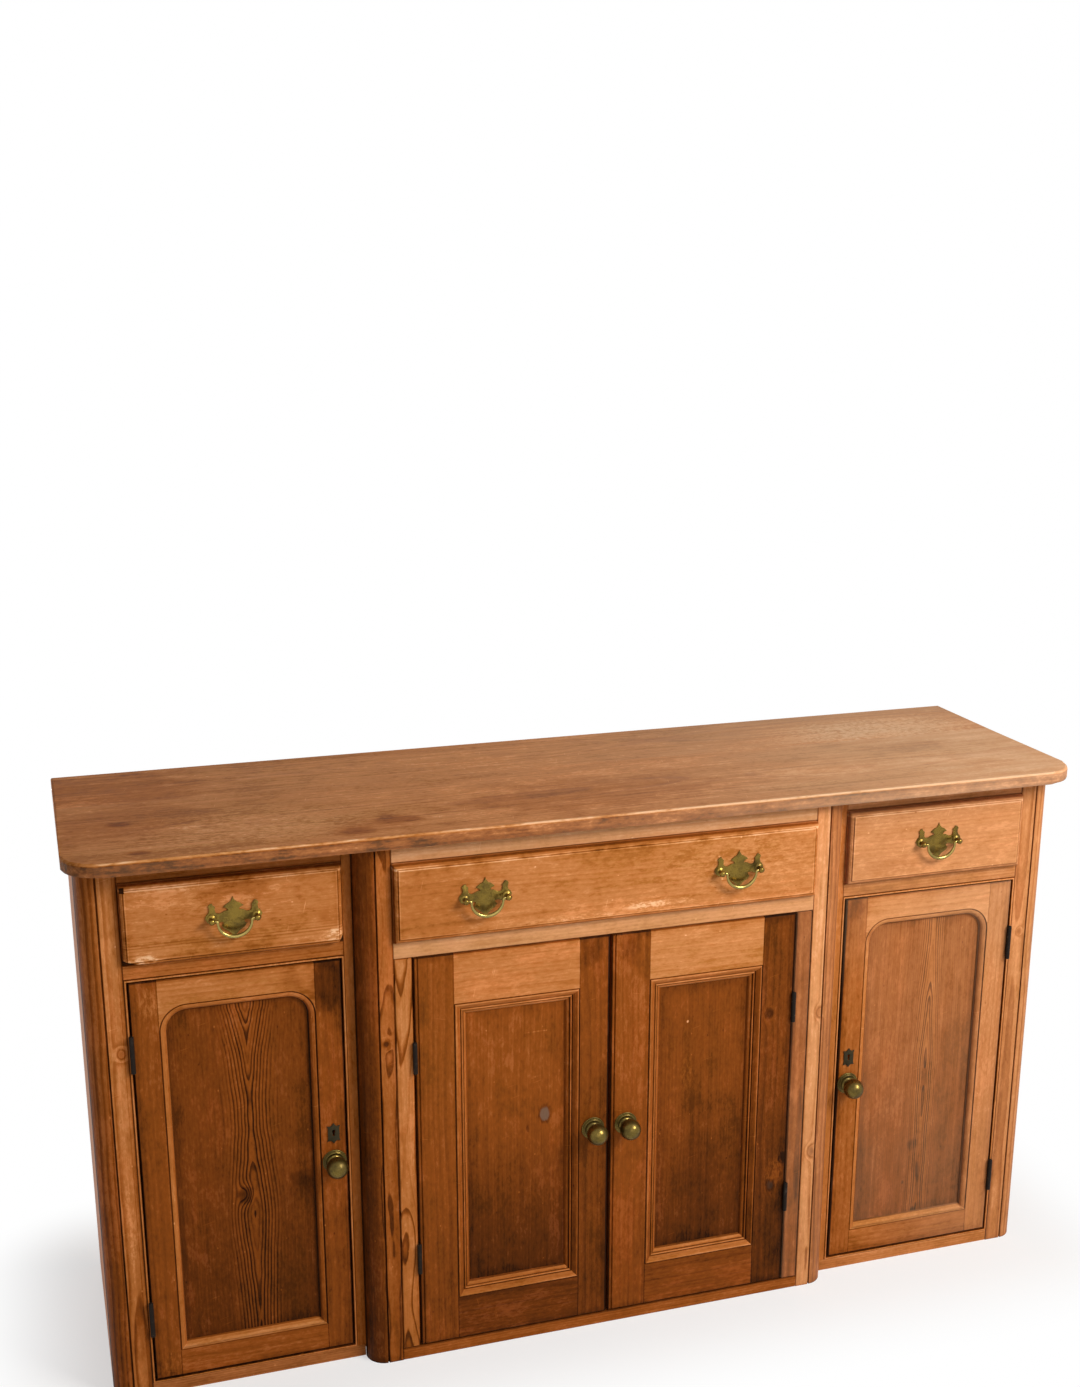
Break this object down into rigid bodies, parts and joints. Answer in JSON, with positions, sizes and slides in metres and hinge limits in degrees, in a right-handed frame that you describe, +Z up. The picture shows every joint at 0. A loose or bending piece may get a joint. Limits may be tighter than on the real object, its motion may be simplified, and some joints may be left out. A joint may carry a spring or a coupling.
{
  "type": "dresser base",
  "caption": "Pine breakfront dresser base with drawers over panelled doors, rounded corner posts, a worktop with rounded front corners, brass bail pulls and ball knobs.",
  "frame": {"origin": "on the floor, below the middle of the worktop", "axes": "+X along the front to the viewer's right, +Y towards the back, +Z up; the front faces -Y"},
  "size_m": [1.63, 0.4784, 0.9],
  "materials": {
    "worktop": "waxed, worn pine",
    "frame_pine": "waxed pine",
    "inner_pine": "bare pine",
    "door_pine": "waxed pine",
    "drawer_pine": "waxed pine",
    "brass": "aged, rubbed bright on the high places",
    "iron": "dark, oxidised"
  },
  "bodies": {
    "carcass": {"worktop_front_board": "worktop", "worktop_back_board": "worktop", "end_panel_left": "frame_pine", "end_panel_right": "frame_pine", "corner_post_left": "frame_pine", "corner_post_right": "frame_pine", "breakfront_post_left": "frame_pine", "breakfront_post_right": "frame_pine", "divider_left": "inner_pine", "divider_right": "inner_pine", "back_boards": "inner_pine", "bottom_board": "frame_pine", "top_rail_left": "frame_pine", "top_rail_centre": "frame_pine", "top_rail_right": "frame_pine", "drawer_board_left": "frame_pine", "drawer_board_centre": "frame_pine", "drawer_board_right": "frame_pine", "filler_strip_left": "frame_pine", "filler_strip_right": "frame_pine", "door_bead_left": "frame_pine", "door_bead_right": "frame_pine", "hinge_left_upper": "iron", "hinge_left_lower": "iron", "hinge_centre_left_upper": "iron", "hinge_centre_left_lower": "iron", "hinge_centre_right_upper": "iron", "hinge_centre_right_lower": "iron", "hinge_right_upper": "iron", "hinge_right_lower": "iron"},
    "drawer_left": {"drawer_front_left": "drawer_pine", "drawer_box_left": "inner_pine", "pull_plate_left": "brass"},
    "drawer_centre": {"drawer_front_centre": "drawer_pine", "drawer_box_centre": "inner_pine", "pull_plate_centre_left": "brass", "pull_plate_centre_right": "brass"},
    "drawer_right": {"drawer_front_right": "drawer_pine", "drawer_box_right": "inner_pine", "pull_plate_right": "brass"},
    "door_left": {"door_frame_left": "door_pine", "door_panel_left": "door_pine", "knob_left": "brass", "escutcheon_left": "brass"},
    "door_centre_left": {"door_frame_centre_left": "door_pine", "door_panel_centre_left": "door_pine", "knob_centre_left": "brass"},
    "door_centre_right": {"door_frame_centre_right": "door_pine", "door_panel_centre_right": "door_pine", "knob_centre_right": "brass"},
    "door_right": {"door_frame_right": "door_pine", "door_panel_right": "door_pine", "knob_right": "brass", "escutcheon_right": "brass"},
    "bail_left": {"pull_bail_left": "brass"},
    "bail_centre_left": {"pull_bail_centre_left": "brass"},
    "bail_centre_right": {"pull_bail_centre_right": "brass"},
    "bail_right": {"pull_bail_right": "brass"},
    "bolt_left": {"lock_bolt_left": "iron"},
    "bolt_right": {"lock_bolt_right": "iron"}
  },
  "joints": [
    {"name": "drawer_left_slide", "type": "slide", "parent": "carcass", "child": "drawer_left", "axis": [0, -1, 0], "range_m": [0, 0.28]},
    {"name": "drawer_centre_slide", "type": "slide", "parent": "carcass", "child": "drawer_centre", "axis": [0, -1, 0], "range_m": [0, 0.28]},
    {"name": "drawer_right_slide", "type": "slide", "parent": "carcass", "child": "drawer_right", "axis": [0, -1, 0], "range_m": [0, 0.28]},
    {"name": "door_left_hinge", "type": "hinge", "parent": "carcass", "child": "door_left", "pos_m": [-0.73555, -0.1817, 0.36], "axis": [0, 0, -1], "range_deg": [0, 110]},
    {"name": "door_centre_left_hinge", "type": "hinge", "parent": "carcass", "child": "door_centre_left", "pos_m": [-0.3179, -0.2117, 0.36], "axis": [0, 0, -1], "range_deg": [0, 110]},
    {"name": "door_centre_right_hinge", "type": "hinge", "parent": "carcass", "child": "door_centre_right", "pos_m": [0.3179, -0.2117, 0.36], "axis": [0, 0, 1], "range_deg": [0, 110]},
    {"name": "door_right_hinge", "type": "hinge", "parent": "carcass", "child": "door_right", "pos_m": [0.73555, -0.1817, 0.36], "axis": [0, 0, 1], "range_deg": [0, 110]},
    {"name": "bail_left_pivot", "type": "hinge", "parent": "drawer_left", "child": "bail_left", "pos_m": [-0.5785, -0.2031, 0.7868], "axis": [-1, 0, 0], "range_deg": [0, 95]},
    {"name": "bail_centre_left_pivot", "type": "hinge", "parent": "drawer_centre", "child": "bail_centre_left", "pos_m": [-0.207, -0.2341, 0.7868], "axis": [-1, 0, 0], "range_deg": [0, 95]},
    {"name": "bail_centre_right_pivot", "type": "hinge", "parent": "drawer_centre", "child": "bail_centre_right", "pos_m": [0.207, -0.2341, 0.7868], "axis": [-1, 0, 0], "range_deg": [0, 95]},
    {"name": "bail_right_pivot", "type": "hinge", "parent": "drawer_right", "child": "bail_right", "pos_m": [0.5785, -0.2031, 0.7868], "axis": [-1, 0, 0], "range_deg": [0, 95]},
    {"name": "bolt_left_throw", "type": "slide", "parent": "door_left", "child": "bolt_left", "axis": [1, 0, 0], "range_m": [0, 0.011]},
    {"name": "bolt_right_throw", "type": "slide", "parent": "door_right", "child": "bolt_right", "axis": [-1, 0, 0], "range_m": [0, 0.011]}
  ]
}
